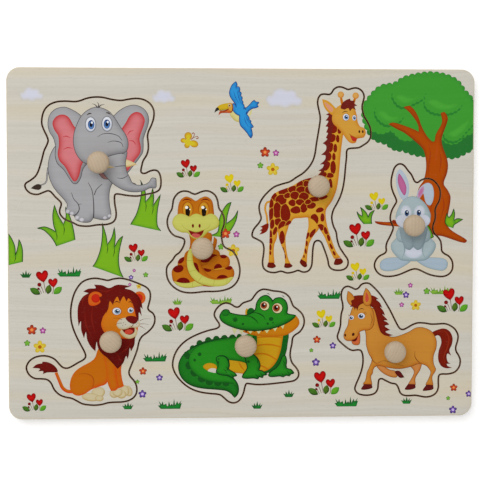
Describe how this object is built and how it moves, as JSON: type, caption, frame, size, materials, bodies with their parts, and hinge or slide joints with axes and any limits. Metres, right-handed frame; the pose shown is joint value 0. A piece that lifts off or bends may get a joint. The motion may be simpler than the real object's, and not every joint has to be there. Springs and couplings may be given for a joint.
{
  "type": "peg puzzle",
  "caption": "Flat wooden board with printed animals that lift straight out of matching cut-outs by turned knobs.",
  "frame": {"origin": "middle of the underside of the backing board, where the puzzle rests", "axes": "+X across the picture from its left to its right, +Y up the picture, +Z out of the picture towards the knobs"},
  "size_m": [0.3, 0.225, 0.021],
  "materials": {
    "picture_board_wood": "pale plywood printed with a meadow scene, thin matt varnish",
    "backing_wood": "plain plywood",
    "knob_wood": "turned and sanded, unpainted",
    "screw_steel": "zinc plated",
    "elephant_print": "pale plywood printed with the animal, thin matt varnish",
    "snake_print": "pale plywood printed with the animal, thin matt varnish",
    "giraffe_print": "pale plywood printed with the animal, thin matt varnish",
    "rabbit_print": "pale plywood printed with the animal, thin matt varnish",
    "lion_print": "pale plywood printed with the animal, thin matt varnish",
    "crocodile_print": "pale plywood printed with the animal, thin matt varnish",
    "horse_print": "pale plywood printed with the animal, thin matt varnish"
  },
  "bodies": {
    "board": {"picture_board": "picture_board_wood", "backing_board": "backing_wood"},
    "elephant": {"elephant_piece": "elephant_print", "elephant_knob": "knob_wood", "elephant_screw": "screw_steel"},
    "snake": {"snake_piece": "snake_print", "snake_knob": "knob_wood", "snake_screw": "screw_steel"},
    "giraffe": {"giraffe_piece": "giraffe_print", "giraffe_knob": "knob_wood", "giraffe_screw": "screw_steel"},
    "rabbit": {"rabbit_piece": "rabbit_print", "rabbit_knob": "knob_wood", "rabbit_screw": "screw_steel"},
    "lion": {"lion_piece": "lion_print", "lion_knob": "knob_wood", "lion_screw": "screw_steel"},
    "crocodile": {"crocodile_piece": "crocodile_print", "crocodile_knob": "knob_wood", "crocodile_screw": "screw_steel"},
    "horse": {"horse_piece": "horse_print", "horse_knob": "knob_wood", "horse_screw": "screw_steel"}
  },
  "joints": [
    {"name": "elephant_lift", "type": "slide", "parent": "board", "child": "elephant", "axis": [0, 0, 1], "range_m": [0, 0.04]},
    {"name": "snake_lift", "type": "slide", "parent": "board", "child": "snake", "axis": [0, 0, 1], "range_m": [0, 0.04]},
    {"name": "giraffe_lift", "type": "slide", "parent": "board", "child": "giraffe", "axis": [0, 0, 1], "range_m": [0, 0.04]},
    {"name": "rabbit_lift", "type": "slide", "parent": "board", "child": "rabbit", "axis": [0, 0, 1], "range_m": [0, 0.04]},
    {"name": "lion_lift", "type": "slide", "parent": "board", "child": "lion", "axis": [0, 0, 1], "range_m": [0, 0.04]},
    {"name": "crocodile_lift", "type": "slide", "parent": "board", "child": "crocodile", "axis": [0, 0, 1], "range_m": [0, 0.04]},
    {"name": "horse_lift", "type": "slide", "parent": "board", "child": "horse", "axis": [0, 0, 1], "range_m": [0, 0.04]}
  ]
}
